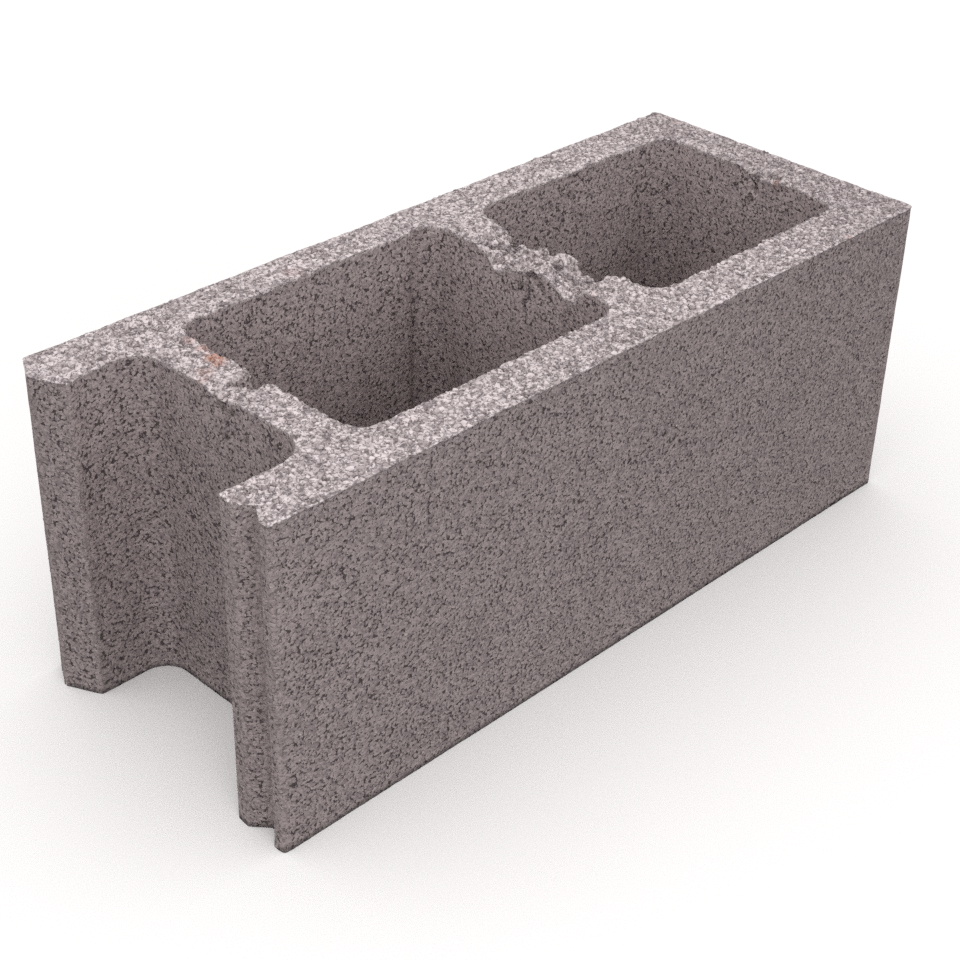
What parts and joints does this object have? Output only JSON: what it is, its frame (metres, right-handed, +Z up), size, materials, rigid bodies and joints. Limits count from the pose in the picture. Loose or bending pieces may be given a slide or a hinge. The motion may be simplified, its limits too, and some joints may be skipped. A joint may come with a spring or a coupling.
{
  "type": "hollow concrete block",
  "caption": "Hollow concrete wall block with open cells, a flat closed end and an open recessed end whose flanges carry a tongue and a groove.",
  "frame": {"origin": "middle of the resting face, at the centre of the block's length and width", "axes": "+X along the length towards the flat closed end, +Y across the width towards the shell whose flange ends in the tongue, +Z up"},
  "size_m": [0.494, 0.2, 0.194],
  "materials": {
    "concrete": "rough dry-cast concrete, warm grey"
  },
  "bodies": {
    "root": {"block": "concrete"}
  },
  "joints": []
}
